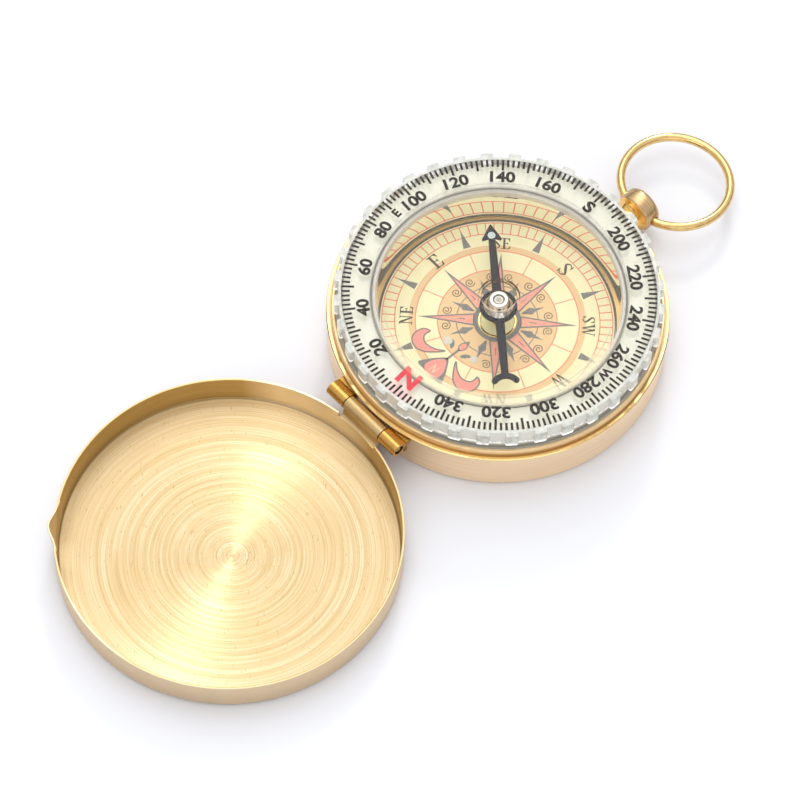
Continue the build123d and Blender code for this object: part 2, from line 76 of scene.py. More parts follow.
# ---------------------------------------- artwork dimensions
DIAL_NORTH = 178.8  # azimuth of the dial's north mark, in degrees
BEZEL_NORTH = 185.2  # azimuth of the bezel's north mark
INK = 0.006 * MM  # thickness of one printed layer
PRINT_DEPTH = 0.03 * MM  # how far the bezel's print lies under its clear face


def polar(radius, degrees, height=0.0):
    """The point at a radius and an azimuth about the case's axis."""
    turn = math.radians(degrees)
    return Vector((radius * math.cos(turn), radius * math.sin(turn), height))


# ---------------------------------------- mesh code
def add_piece(name, mesh, body, material):
    """Makes a mesh into a piece that rides on a body and its material."""
    piece = bpy.data.objects.new(name, mesh)
    bpy.context.scene.collection.objects.link(piece)
    mesh.materials.append(material)
    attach(piece, body)
    return piece


def mesh_from(build, name):
    """Finishes a bmesh as a mesh with its normals outwards."""
    bmesh.ops.recalc_face_normals(build, faces=build.faces)
    mesh = bpy.data.meshes.new(name)
    build.to_mesh(mesh)
    build.free()
    return mesh


def add_prism(build, outline, bottom, top):
    """Adds one flat closed solid to a bmesh. The outline is a list of 2-D points and may be concave."""
    low = [build.verts.new((x, y, bottom)) for x, y in outline]
    high = [build.verts.new((x, y, top)) for x, y in outline]
    for i in range(len(outline)):
        j = (i + 1) % len(outline)
        build.faces.new((low[i], low[j], high[j], high[i]))
    for a, b, c in tessellate_polygon([[Vector((x / MM, y / MM, 0)) for x, y in outline]]):
        build.faces.new((high[a], high[b], high[c]))
        build.faces.new((low[c], low[b], low[a]))


def add_strip(build, sides, bottom, top, closed=False):
    """Adds one flat closed solid between two lines, given as pairs of points."""
    rings = [[build.verts.new((p[0], p[1], z)) for p in pair for z in (bottom, top)] for pair in sides]
    count = len(rings)
    for i in range(count if closed else count - 1):
        (a0, a1, b0, b1), (c0, c1, d0, d1) = rings[i], rings[(i + 1) % count]
        for face in ((a1, c1, d1, b1), (a0, b0, d0, c0), (a0, c0, c1, a1), (b0, b1, d1, d0)):
            build.faces.new(face)
    if not closed:
        for a0, a1, b0, b1 in (rings[0], rings[-1]):
            build.faces.new((a0, a1, b1, b0))


PRINT_STEP = 1.5  # degrees between the points of a printed circle
ON_DIAL = ("case", "dial_print", CARD_TOP)  # the body, the slot and the printed surface's height


def print_piece(name, layer, material, outlines=(), rings=(), strips=(), place=ON_DIAL):
    """One ink layer: flat solids on a surface, each layer a little above the one before."""
    body, slot, base = place
    build = bmesh.new()
    bottom, top = base + (layer - 1) * INK, base + layer * INK
    turns = [PRINT_STEP * i for i in range(round(360 / PRINT_STEP))]
    for outline in outlines:
        add_prism(build, [(p[0], p[1]) for p in outline], bottom, top)
    for inner, outer in rings:
        add_strip(build, [(polar(inner, turn), polar(outer, turn)) for turn in turns], bottom, top, True)
    for sides, closed in strips:
        add_strip(build, sides, bottom, top, closed)
    return add_piece(name, mesh_from(build, name), body, material)


LATHE_STEPS = 256


def lathe(build, section):
    """Adds a closed (radius, height) section turned about the case's axis."""
    rings = []
    for i in range(LATHE_STEPS):
        turn = 2 * math.pi * i / LATHE_STEPS
        points = [(r * math.cos(turn), r * math.sin(turn), z) for r, z in section]
        rings.append([build.verts.new(point) for point in points])
    for i in range(LATHE_STEPS):
        here, there = rings[i], rings[(i + 1) % LATHE_STEPS]
        for j in range(len(section)):
            k = (j + 1) % len(section)
            build.faces.new((here[j], there[j], there[k], here[k]))


def shade(mesh, degrees=30):
    """Smooth shading, with edges sharper than this angle kept sharp."""
    mesh.polygons.foreach_set("use_smooth", [True] * len(mesh.polygons))
    mesh.set_sharp_from_angle(angle=math.radians(degrees))


# ---------------------------------------- outlines
def circle_line(radius, width):
    """The two radii of a thin circle."""
    return radius - width / 2, radius + width / 2


def radial_line(inner, outer, degrees, width):
    """A straight line along a radius."""
    along = polar(1, degrees)
    across = polar(width / 2, degrees + 90)
    return [along * inner - across, along * outer - across, along * outer + across, along * inner + across]


def smooth(points, closed=True, steps=7):
    """Points on a Catmull-Rom curve through the given ones."""
    count = len(points)
    spans = count if closed else count - 1
    made = []
    for i in range(spans):
        if closed:
            a, b, c, d = (Vector(points[(i + k) % count]) for k in (-1, 0, 1, 2))
        else:
            a, b, c, d = (Vector(points[min(max(i + k, 0), count - 1)]) for k in (-1, 0, 1, 2))
        linear, square, cubic = c - a, 2 * a - 5 * b + 4 * c - d, 3 * b - a - 3 * c + d
        for s in range(steps):
            t = s / steps
            made.append(0.5 * (2 * b + linear * t + square * t * t + cubic * t**3))
    if not closed:
        made.append(Vector(points[-1]))
    return made


def ribbon(points, width, closed=False):
    """A line of the given width, or list of widths, along points, as pairs of points."""
    count = len(points)
    widths = width if isinstance(width, list) else [width] * count
    sides = []
    for i, p in enumerate(points):
        before = points[i - 1] if (closed or i) else p
        after = points[(i + 1) % count] if (closed or i < count - 1) else p
        direction = (Vector(after) - Vector(before)).to_2d().normalized()
        across = Vector((-direction.y, direction.x)) * widths[i] / 2
        flat = Vector(p).to_2d()
        sides.append((flat - across, flat + across))
    return sides, closed


# ---------------------------------------- material toolkit
class Shader:
    """One material's node tree, with a short call for each kind of node that is used here."""

    def __init__(self, name):
        self.material = bpy.data.materials.new(name)
        self.material.use_nodes = True
        self.tree = self.material.node_tree
        self.tree.nodes.clear()

    def add(self, kind, values=None, **settings):
        node = self.tree.nodes.new("ShaderNode" + kind)
        for name, value in settings.items():
            setattr(node, name, value)
        for socket, value in (values or {}).items():
            if isinstance(value, bpy.types.NodeSocket):
                self.tree.links.new(value, node.inputs[socket])
            else:
                node.inputs[socket].default_value = value
        return node

    def math(self, operation, a, b=0.0):
        return self.add("Math", {0: a, 1: b}, operation=operation).outputs[0]

    def vector(self, operation, a, b=(0, 0, 0)):
        return self.add("VectorMath", {0: a, 1: b}, operation=operation).outputs["Vector"]

    def combine(self, x, y, z):
        return self.add("CombineXYZ", {0: x, 1: y, 2: z}).outputs[0]

    def noise(self, vector, scale, detail=3.0, roughness=0.55):
        values = {"Vector": vector, "Scale": scale, "Detail": detail, "Roughness": roughness}
        return self.add("TexNoise", values).outputs["Fac"]

    def between(self, value, from_low, from_high, to_low, to_high):
        values = {0: value, 1: from_low, 2: from_high, 3: to_low, 4: to_high}
        return self.add("MapRange", values).outputs[0]

    def mix(self, factor, a, b):
        """Mixes two colours."""
        first, second = ((*c, 1) if isinstance(c, tuple) else c for c in (a, b))
        return self.add("Mix", {0: factor, 6: first, 7: second}, data_type="RGBA").outputs[2]

    def fade(self, value, start, end, most, a, b):
        """Colour a where value is at start, with up to most of colour b where it is at end."""
        return self.mix(self.between(value, start, end, 0.0, most), a, b)

    def product(self, first, *others):
        """Two or more values multiplied together."""
        for other in others:
            first = self.math("MULTIPLY", first, other)
        return first

    def mix_shader(self, factor, a, b):
        return self.add("MixShader", {0: factor, 1: a, 2: b}).outputs[0]

    def lobe(self, kind, colour, **values):
        """One plain kind of shader, such as Diffuse, in a colour."""
        colour = (*colour, 1) if isinstance(colour, tuple) else colour
        return self.add("Bsdf" + kind, {"Color": colour, **values}).outputs[0]

    def principled(self, values):
        return self.add("BsdfPrincipled", values).outputs[0]

    def bump(self, height, distance, strength=1.0):
        values = {"Height": height, "Distance": distance, "Strength": strength}
        return self.add("Bump", values).outputs["Normal"]

    def position(self):
        """The surface point in millimetres, in the frame at rest."""
        place = self.add("TexCoord").outputs["Object"]
        return self.vector("MULTIPLY", place, (1000, 1000, 1000))

    def around(self, centre, axis="Z"):
        """Radius, turn and height about an axis through centre, in millimetres and radians."""
        local = self.vector("SUBTRACT", self.position(), tuple(centre / MM))
        split = self.add("SeparateXYZ", {0: local}).outputs
        a, b, along = {"Z": (0, 1, 2), "X": (1, 2, 0), "Y": (0, 2, 1)}[axis]
        turn = self.math("ARCTAN2", split[b], split[a])
        squares = self.math("ADD", self.product(split[a], split[a]), self.product(split[b], split[b]))
        return self.math("SQRT", squares), turn, split[along]

    def wrap(self, turn, third):
        """A turn as a point on a unit circle, with a third coordinate, so that noise of it has no seam."""
        return self.combine(self.math("COSINE", turn), self.math("SINE", turn), third)

    def ring(self, radius, middle, half):
        """One on a thin circle of this radius, in millimetres, and zero away from it."""
        away = self.math("ABSOLUTE", self.math("SUBTRACT", radius, middle))
        return self.between(away, half * 0.5, half, 1.0, 0.0)

    def close(self, surface):
        """Links the surface to the output and returns the material."""
        output = self.tree.nodes.new("ShaderNodeOutputMaterial")
        self.tree.links.new(surface, output.inputs["Surface"])
        return self.material


def turned_grain(s, centre, axis="Z", across=9.0):
    """Streaks that run round an axis, as turning or polishing leaves them, from 0 to 1."""
    radius, turn, along = s.around(centre, axis)
    depth = s.product(s.math("ADD", radius, along), across)
    return s.noise(s.wrap(turn, depth), 1.3, 4.0, 0.6), radius, turn, along


def brass(name, colour, roughness, grain=0.5, centre=CASE_AXIS, axis="Z", across=9.0, marks=0.5, core=0):
    """Brass with turned streaks, faint tarnish and pits. Grain is how strong the streaks are. Within the
    radius core of its axis, in millimetres, it is darkened as painted shade in the bore round the pin, and it
    turns darker brown from 1.13 to 1.5 millimetres out."""
    s = Shader(name)
    streaks, radius = turned_grain(s, centre, axis, across)[:2]
    tarnish = s.noise(s.position(), 0.22, 3.0)
    pits = s.between(s.noise(s.position(), 3.1, 5.0, 0.7), 0.66, 0.74, 0.0, 1.0)
    dark = tuple(c * (1 - 0.28 * grain) for c in colour)
    tint = s.fade(streaks, 0.35, 0.65, 1.0, dark, colour)
    warm = tuple(c * f for c, f in zip(colour, (0.97, 0.88, 0.74)))
    tint = s.fade(tarnish, 0.45, 0.75, 0.45, tint, warm)
    tint = s.mix(s.product(pits, 0.45 * marks), tint, tuple(c * 0.45 for c in colour))
    if core:
        # painted shade: near black in the bore round the hinge pin, within the radius core
        tint = s.mix(s.between(radius, core, core + 0.05, 0.85, 0.0), tint, (0.06, 0.04, 0.015))
        tint = s.fade(radius, 1.13, 1.5, 0.6, tint, (0.22, 0.12, 0.02))
    rough = s.between(streaks, 0.3, 0.7, roughness * 0.85, roughness * 1.2)
    values = {
        "Base Color": tint,
        "Metallic": 1.0,
        "Roughness": rough,
        "Normal": s.bump(streaks, 0.02 * MM, grain * 0.5),
    }
    return s.close(s.principled(values))


def case_brass():
    """The case: a finely brushed and pitted wall under a polished bead, with a painted shadow line at the
    foot of the collar, on the bead's ledge.
    """
    s = Shader("case_satin_brass")
    streaks, radius, turn, height = turned_grain(s, CASE_AXIS, "Z", 5.0)
    unrolled = s.combine(s.product(turn, 23.8), s.product(height, 1.6), radius)
    pits = s.between(s.noise(unrolled, 1.9, 4.0, 0.75), 0.67, 0.73, 0.0, 1.0)
    cloud = s.noise(s.position(), 0.3, 3.0)
    tint = s.fade(streaks, 0.35, 0.65, 1.0, (0.86, 0.64, 0.42), (0.98, 0.78, 0.54))
    tint = s.fade(cloud, 0.45, 0.75, 0.4, tint, (0.90, 0.69, 0.46))
    tint = s.mix(s.product(pits, 0.6), tint, (0.33, 0.22, 0.12))
    bead = s.between(height, 6.93, 6.96, 0.0, 1.0)
    tint = s.mix(bead, tint, (0.93, 0.65, 0.29))
    # painted shade: a dark line at the foot of the collar, on the bead's ledge
    gap = s.product(s.between(radius, 23.5, 23.62, 1.0, 0.0), s.between(height, 7.3, 7.36, 0.0, 1.0))
    tint = s.mix(gap, tint, (0.42, 0.28, 0.13))
    relief = s.product(s.math("SUBTRACT", streaks, s.product(pits, 0.8)), s.math("SUBTRACT", 1.0, bead))
    rough = s.between(streaks, 0.3, 0.7, 0.36, 0.46)
    values = {
        "Base Color": tint,
        "Metallic": s.math("ADD", 0.88, s.product(bead, 0.12)),
        "Roughness": s.math("SUBTRACT", rough, s.product(bead, 0.27)),
        "Normal": s.bump(relief, 0.02 * MM, 0.35),
    }
    return s.close(s.principled(values))


def crown_brass():
    """The crown: a brushed head on a polished golden neck."""
    s = Shader("crown_brass")
    streaks = turned_grain(s, CROWN_CENTRE, "X", 7.0)[0]
    reach = s.add("SeparateXYZ", {0: s.position()}).outputs[0]
    neck = s.between(reach, 26.5, 26.75, 1.0, 0.0)
    marks = s.noise(s.position(), 2.6, 4.0, 0.75)
    tint = s.fade(streaks, 0.35, 0.65, 1.0, (0.50, 0.33, 0.17), (0.68, 0.47, 0.25))
    tint = s.fade(marks, 0.62, 0.7, 0.4, tint, (0.38, 0.24, 0.11))
    tint = s.mix(neck, tint, (0.90, 0.56, 0.17))
    rough = s.between(streaks, 0.3, 0.7, 0.24, 0.34)
    values = {
        "Base Color": tint,
        "Metallic": 1.0,
        "Roughness": s.math("SUBTRACT", rough, s.product(neck, 0.15)),
        "Normal": s.bump(streaks, 0.02 * MM, s.math("SUBTRACT", 0.4, s.product(neck, 0.3))),
    }
    return s.close(s.principled(values))


def lid_brass():
    """The lid: a turned floor whose rings fan the light out, with brushed walls. Painted light and shade are
    laid
    on: a paler floor towards the wall, a darker inner wall with two bright bands, and a dark line where the
    floor meets the wall.
    """
    s = Shader("lid_turned_brass")
    radius, turn, height = s.around(TURN_CENTRE)
    fine = s.noise(s.wrap(turn, s.product(radius, 5.5)), 0.8, 6.0, 0.85)
    broad = s.noise(s.wrap(turn, s.product(radius, 3.4)), 0.6, 3.0, 0.7)
    middle = s.between(radius, 0.4, 3.2, 1.0, 0.0)
    wave = s.product(s.math("SINE", s.product(radius, 9.5)), middle)
    tint = s.fade(fine, 0.36, 0.64, 1.0, (0.50, 0.345, 0.155), (0.89, 0.675, 0.385))
    tint = s.fade(broad, 0.42, 0.62, 0.3, tint, (0.90, 0.73, 0.46))
    tint = s.fade(fine, 0.62, 0.7, 0.6, tint, (1.0, 0.90, 0.66))
    tint = s.fade(wave, -0.6, 0.8, 0.6, tint, (0.50, 0.35, 0.15))
    patchy = s.noise(s.wrap(turn, s.product(radius, 0.2)), 1.6, 2.0)
    patchy = s.between(patchy, 0.35, 0.6, 0.25, 1.0)
    bright_lines, dark_lines = (0.0, 0.42, (1.0, 0.93, 0.72)), (40.0, 0.34, (0.50, 0.35, 0.15))
    for offset, strength, line_tint in (bright_lines, dark_lines):
        cut = s.noise(s.combine(offset, 0.0, radius), 2.8, 3.0, 0.7)
        line = s.between(s.math("ABSOLUTE", s.math("SUBTRACT", cut, 0.5)), 0.0, 0.05, strength, 0.0)
        tint = s.mix(s.product(line, patchy), tint, line_tint)
    rolled = s.add("VectorRotate", {0: s.position(), "Angle": ROLLING_TURN}, rotation_type="Z_AXIS")
    pits = s.noise(s.vector("MULTIPLY", rolled.outputs[0], (0.75, 2.4, 1.0)), 1.5, 3.0, 0.7)
    tint = s.fade(pits, 0.645, 0.68, 0.65, tint, (0.36, 0.245, 0.105))
    edge, around_edge = s.around(LID_CENTRE)[:2]
    # painted light: the floor grows paler towards the wall, against the shade the wall casts
    tint = s.fade(edge, 17.0, 23.0, 0.12, tint, (1.0, 0.85, 0.60))
    wall = s.between(edge, 23.2, 23.45, 0.0, 1.0)
    brushed = s.noise(s.wrap(turn, s.product(height, 6.0)), 3.0, 4.0, 0.7)
    # painted shade: the inner wall takes a darker brass than the floor; the outside wall is given a paler
    # tint below
    wall_tint = s.fade(brushed, 0.35, 0.65, 1.0, (0.47, 0.32, 0.115), (0.66, 0.47, 0.215))
    # painted highlights: two bright bands on the wall, towards the crown and towards the tab
    towards_crown = s.math("COSINE", s.math("SUBTRACT", around_edge, 0.32))
    towards_tab = s.math("COSINE", s.math("SUBTRACT", around_edge, 3.05))
    painted_wall_highlight = s.between(towards_crown, 0.90, 0.98, 0.0, 0.85)
    painted_wall_highlight = s.math("MAXIMUM", painted_wall_highlight, s.between(towards_tab, 0.93, 0.99, 0.0, 0.7))
    wall_tint = s.mix(painted_wall_highlight, wall_tint, (1.0, 0.85, 0.62))
    outside = s.between(edge, 23.6, 23.75, 0.0, 1.0)
    # painted shadow: a dark line where the floor meets the inner wall
    corner_shade = s.product(s.ring(edge, 23.34, 0.15), s.between(height, 0.95, 1.1, 1.0, 0.0))
    wall_tint = s.mix(outside, wall_tint, (0.72, 0.56, 0.37))
    tint = s.mix(wall, tint, wall_tint)
    tint = s.mix(s.product(corner_shade, 0.75), tint, (0.20, 0.13, 0.05))
    relief = s.math("ADD", fine, s.math("ADD", s.product(broad, 0.35), s.product(wave, 0.4)))
    place = s.add("SeparateXYZ", {0: s.vector("SUBTRACT", s.position(), tuple(TURN_CENTRE / MM))}).outputs
    groove = s.combine(s.product(place[1], -1.0), place[0], 0.0)  # across the radius
    to_world = {"vector_type": "VECTOR", "convert_from": "OBJECT", "convert_to": "WORLD"}
    groove = s.add("VectorTransform", {0: groove}, **to_world)
    values = {
        "Base Color": tint,
        "Metallic": 1.0,
        "Roughness": s.between(fine, 0.3, 0.7, 0.38, 0.46),
        "Anisotropic": s.math("SUBTRACT", 0.93, s.product(wall, 0.6)),
        "Anisotropic Rotation": 0.25,
        "Tangent": groove.outputs[0],
        "Normal": s.bump(relief, 0.02 * MM, 0.6),
    }
    return s.close(s.principled(values))


def ink(name, colour, fade=0.25, roughness=0.55):
    """Printing ink on card: a little uneven, with the card's tooth showing."""
    s = Shader(name)
    tooth = s.noise(s.position(), 5.0, 4.0, 0.7)
    patch = s.noise(s.position(), 0.35, 3.0)
    pale = tuple(c + (1 - c) * fade for c in colour)
    tint = s.fade(tooth, 0.35, 0.7, 0.6, colour, pale)
    tint = s.fade(patch, 0.5, 0.75, 0.4, tint, pale)
    values = {
        "Base Color": tint,
        "Roughness": s.between(tooth, 0.3, 0.7, roughness - 0.08, roughness + 0.1),
        "Specular IOR Level": 0.12,
        "Normal": s.bump(tooth, 0.01 * MM, 0.3),
    }
    return s.close(s.principled(values))


def ray_ink():
    """The pink of the rose's rays, speckled and tanner towards the hub."""
    s = Shader("dial_ray_ink")
    radius = s.around(CASE_AXIS)[0]
    speckle = s.between(s.noise(s.position(), 3.2, 3.0, 0.7), 0.42, 0.62, 0.0, 1.0)
    inner = s.between(radius, 3.6, 8.5, 0.85, 0.15)
    tint = s.mix(s.product(speckle, inner), (0.95, 0.37, 0.31), (0.92, 0.66, 0.40))
    tooth = s.bump(speckle, 0.01 * MM, 0.3)
    values = {"Base Color": tint, "Roughness": 0.55, "Specular IOR Level": 0.12, "Normal": tooth}
    return s.close(s.principled(values))


def dial_paper():
    """The dial's cream card, with faint fibres, a few specks and a warmer stain round the hub."""
    s = Shader("dial_cream_card")
    fibre = s.noise(s.position(), 4.0, 5.0, 0.7)
    stain = s.noise(s.position(), 0.28, 3.0)
    radius = s.around(CASE_AXIS)[0]
    tint = s.fade(fibre, 0.3, 0.7, 1.0, (0.95, 0.88, 0.52), (0.99, 0.95, 0.64))
    tint = s.fade(stain, 0.52, 0.75, 0.4, tint, (0.90, 0.78, 0.42))
    tint = s.fade(radius, 5.0, 1.5, 0.35, tint, (0.78, 0.64, 0.30))
    specks = s.between(s.noise(s.position(), 1.7, 5.0, 0.8), 0.74, 0.77, 0.0, 0.7)
    tint = s.mix(specks, tint, (0.35, 0.27, 0.14))
    relief = s.bump(fibre, 0.01 * MM, 0.4)
    values = {"Base Color": tint, "Roughness": 0.6, "Specular IOR Level": 0.2, "Normal": relief}
    return s.close(s.principled(values))


def metal(name, colour, roughness, scale=6.0, stretch=(1, 1, 1)):
    """A plain metal with fine scratches."""
    s = Shader(name)
    place = s.vector("MULTIPLY", s.position(), stretch)
    scratches = s.noise(place, scale, 4.0, 0.6)
    tint = s.fade(scratches, 0.35, 0.65, 1.0, tuple(c * 0.8 for c in colour), colour)
    values = {
        "Base Color": tint,
        "Metallic": 1.0,
        "Roughness": s.between(scratches, 0.3, 0.7, roughness * 0.8, roughness * 1.25),
        "Normal": s.bump(scratches, 0.01 * MM, 0.3),
    }
    return s.close(s.principled(values))


def plastic(name, colour, roughness, scale=2.0, shine=0.5):
    """An opaque moulded plastic, paint or rubber, with a fine surface texture."""
    s = Shader(name)
    texture = s.noise(s.position(), scale, 4.0, 0.6)
    tint = s.fade(texture, 0.35, 0.65, 1.0, tuple(c * 0.85 for c in colour), colour)
    values = {
        "Base Color": tint,
        "Roughness": s.between(texture, 0.3, 0.7, roughness * 0.85, min(1.0, roughness * 1.2)),
        "Specular IOR Level": shine,
        "Normal": s.bump(texture, 0.02 * MM, 0.25),
    }
    return s.close(s.principled(values))


def clear_window():
    """Clear glossy acrylic, cloudy at its welded rim. Refraction and reflection are painted on by azimuth:
    dark lines at its boss on the far side and near its edge on the side facing the camera, a bright line
    under the boss and a cream film near the rim on that side.
    """
    s = Shader("window_acrylic")
    radius, turn, height = s.around(CASE_AXIS)
    rings = s.noise(s.combine(0.0, 0.0, s.product(radius, 5.0)), 1.9, 3.0)
    haze = s.product(s.between(radius, 16.9, 17.1, 0.0, 1.0), s.between(rings, 0.38, 0.62, 0.02, 0.3))
    patches = s.noise(s.vector("MULTIPLY", s.position(), (1.0, 1.0, 0.0)), 0.55, 2.0)
    # painted refraction: dark lines at the boss, kept to the far side by the mask below
    boss = s.math("ADD", s.ring(radius, 2.5, 0.07), s.ring(radius, 2.88, 0.09))
    boss = s.product(boss, s.between(patches, 0.4, 0.55, 0.15, 0.85))
    underside = s.between(height, 11.4, 11.5, 1.0, 0.0)
    far = s.between(s.math("COSINE", s.math("SUBTRACT", turn, 0.8)), -0.3, 0.2, 0.0, 1.0)
    near = s.between(s.math("COSINE", s.math("ADD", turn, 2.35)), 0.1, 0.6, 0.0, 1.0)
    # painted refraction: a dark line near the edge, on the side facing the camera
    edge = s.product(s.ring(radius, 16.25, 0.09), near, 0.3)
    dark = s.product(s.math("MAXIMUM", s.product(boss, far), edge), underside)
    # painted highlight: a bright line under the boss, on the side facing the camera
    painted_glint = s.product(s.ring(radius, 2.45, 0.07), near, underside, 0.7)
    # painted reflection: a film near the rim on the side facing the camera
    painted_veil = s.product(near, s.between(radius, 15.65, 15.95, 0.0, 0.42), underside)
    through = s.lobe("Transparent", (0.995, 0.99, 0.985))
    # on the side facing the camera the rim's haze and the film are cream, a painted reflection of the dial
    cloud = s.mix(near, s.mix(rings, (0.42, 0.38, 0.32), (0.90, 0.89, 0.85)), (0.95, 0.89, 0.66))
    shade = s.mix(patches, (0.03, 0.025, 0.02), (0.30, 0.22, 0.12))
    body = s.mix_shader(s.math("MAXIMUM", haze, painted_veil), through, s.lobe("Diffuse", cloud))
    body = s.mix_shader(dark, body, s.lobe("Diffuse", shade))
    body = s.mix_shader(painted_glint, body, s.lobe("Diffuse", (0.85, 0.82, 0.76)))
    fresnel = s.product(s.add("Fresnel", {"IOR": 1.45}).outputs[0], 0.2)
    return s.close(s.mix_shader(fresnel, body, s.lobe("Glossy", (1, 1, 1), Roughness=0.03)))


def nickel_cap():
    """The needle's cap: a grey dished middle in a bright rim over a streaked skirt. The dished middle and the
    groove round it are darkened as painted shade, and a painted highlight ring lies inside.
    """
    s = Shader("cap_nickel")
    radius, turn, height = s.around(CASE_AXIS)
    streaks = s.noise(s.wrap(turn, s.product(height, 0.3)), 4.0, 3.0)
    top = s.between(height, 9.9, 10.0, 0.0, 1.0)
    # painted shade: the dished middle and its groove are darkened
    painted_dish_shade = s.product(top, s.between(radius, 0.62, 0.7, 1.0, 0.0))
    groove = s.product(top, s.ring(radius, 0.72, 0.1))
    skirt = s.fade(streaks, 0.35, 0.65, 1.0, (0.40, 0.37, 0.34), (0.92, 0.88, 0.83))
    tint = s.mix(top, skirt, (0.64, 0.62, 0.56))
    tint = s.mix(painted_dish_shade, tint, (0.27, 0.26, 0.23))
    tint = s.mix(groove, tint, (0.07, 0.06, 0.05))
    # painted highlight: a pale ring inside the dished middle
    tint = s.mix(s.product(top, s.ring(radius, 0.5, 0.06)), tint, (0.60, 0.58, 0.52))
    stains = s.between(s.noise(s.position(), 6.0, 4.0), 0.4, 0.65, 0.0, 0.25)
    tint = s.mix(stains, tint, (0.45, 0.43, 0.40))
    values = {
        "Base Color": tint,
        "Metallic": 1.0,
        "Roughness": s.math("ADD", 0.16, s.product(top, 0.22)),
        "Normal": s.bump(streaks, 0.02 * MM, 0.3),
    }
    return s.close(s.principled(values))


def clear_bezel():
    """Moulded acrylic, clear over the scale, milky at its gripped edge. A painted highlight lies white and
    glowing on the step under the grips and fainter on the grips' sides; the walls between the grips are
    lightened as painted light.
    """
    s = Shader("bezel_acrylic")
    radius, turn, height = s.around(CASE_AXIS)
    flow = s.noise(s.position(), 1.2, 3.0)
    normal = s.add("SeparateXYZ", {0: s.add("TexCoord").outputs["Normal"]}).outputs
    part_x = s.product(normal[0], s.math("SINE", turn))
    part_y = s.product(normal[1], s.math("COSINE", turn))
    sideways = s.math("ABSOLUTE", s.math("SUBTRACT", part_x, part_y))
    grip_side = s.between(sideways, 0.6, 0.85, 0.0, 1.0)
    broken = s.between(flow, 0.36, 0.5, 0.35, 1.0)
    grip = s.between(radius, 22.35, 22.55, 0.0, 0.85)
    level = s.math("SUBTRACT", height, grip)  # the step runs lower between the grips
    step = s.product(s.between(level, 8.68, 8.74, 0.0, 1.0), s.between(level, 9.1, 9.3, 1.0, 0.0))
    # painted highlight: white on the step under the grips and fainter on the grips' sides, broken up by the
    # flow
    bright = s.product(s.math("MAXIMUM", step, s.product(grip_side, 0.45)), broken)
    above_foot = s.between(level, 8.6, 8.68, 0.0, 1.0)
    milk = s.fade(flow, 0.35, 0.65, 1.0, (0.52, 0.53, 0.475), (0.74, 0.75, 0.69))
    milk = s.mix(above_foot, (1.0, 0.95, 0.83), milk)
    # painted light: the walls between the grips are lightened against the shade they stand in
    painted_gap_light = s.between(radius, 22.26, 22.29, 0.0, 1.0)
    painted_gap_light = s.product(painted_gap_light, s.between(radius, 22.31, 22.34, 1.0, 0.0))
    milk = s.mix(s.product(painted_gap_light, above_foot), milk, (0.86, 0.865, 0.80))
    milk = s.mix(s.product(bright, above_foot), milk, (1.0, 1.0, 1.0))
    edge = s.between(radius, 21.86, 22.0, 0.012, s.between(level, 8.6, 8.68, 1.0, 0.84))
    body = s.math("MAXIMUM", edge, s.product(bright, 0.95, s.between(radius, 21.9, 22.0, 0.0, 1.0)))
    white = {
        "Base Color": milk,
        "Roughness": 0.25,
        "Emission Color": (1, 1, 1, 1),
        # the step's painted highlight also glows through the emission
        "Emission Strength": s.product(step, broken, 0.4),
    }
    through = s.lobe("Transparent", (0.985, 0.985, 0.975))
    gloss = s.lobe("Glossy", (1, 1, 1), Roughness=s.between(flow, 0.3, 0.7, 0.02, 0.08))
    fresnel = s.product(s.add("Fresnel", {"IOR": 1.45}).outputs[0], 0.35)
    return s.close(s.mix_shader(fresnel, s.mix_shader(body, through, s.principled(white)), gloss))


def mirror_wall():
    """The capsule's clear wall, which mirrors the dial, cloudy near its top where the window is welded on."""
    s = Shader("capsule_wall_acrylic")
    height = s.around(CASE_AXIS)[2]
    weld = s.between(height, 9.7, 10.0, 0.0, 1.0)
    lines = s.noise(s.combine(0.0, 0.0, s.product(height, 4.0)), 2.2, 3.0)
    cloud = s.fade(lines, 0.35, 0.65, 1.0, (0.42, 0.38, 0.30), (0.90, 0.885, 0.84))
    cloudy = s.principled({"Base Color": cloud, "Roughness": 0.25})
    shine = s.lobe("Glossy", (0.99, 0.97, 0.92), Roughness=0.02)
    return s.close(s.mix_shader(s.math("MAXIMUM", s.product(weld, 0.85), 0.04), shine, cloudy))


def silvered():
    """The silvered backing of the scale, with painted pink light beside the red north letter."""
    s = Shader("scale_silvered")
    streaks = turned_grain(s, CASE_AXIS, "Z", 5.0)[0]
    cloud = s.noise(s.position(), 0.35, 3.0)
    tint = s.fade(streaks, 0.3, 0.7, 1.0, (0.65, 0.63, 0.53), (0.765, 0.745, 0.64))
    tint = s.fade(cloud, 0.4, 0.7, 0.5, tint, (0.80, 0.785, 0.71))
    # painted light: a pink tint round a point beside the red north letter, as its red ink colours the light
    flat = s.vector("MULTIPLY", s.position(), (1, 1, 0))
    away = s.add("VectorMath", {0: flat, 1: tuple(polar(21.3, BEZEL_NORTH))}, operation="DISTANCE")
    tint = s.mix(s.between(away.outputs["Value"], 2.7, 0.5, 0.0, 0.65), tint, (0.95, 0.42, 0.50))
    values = {
        "Base Color": tint,
        "Metallic": 0.25,
        "Roughness": s.between(streaks, 0.3, 0.7, 0.32, 0.45),
        "Normal": s.bump(streaks, 0.01 * MM, 0.3),
    }
    return s.close(s.principled(values))


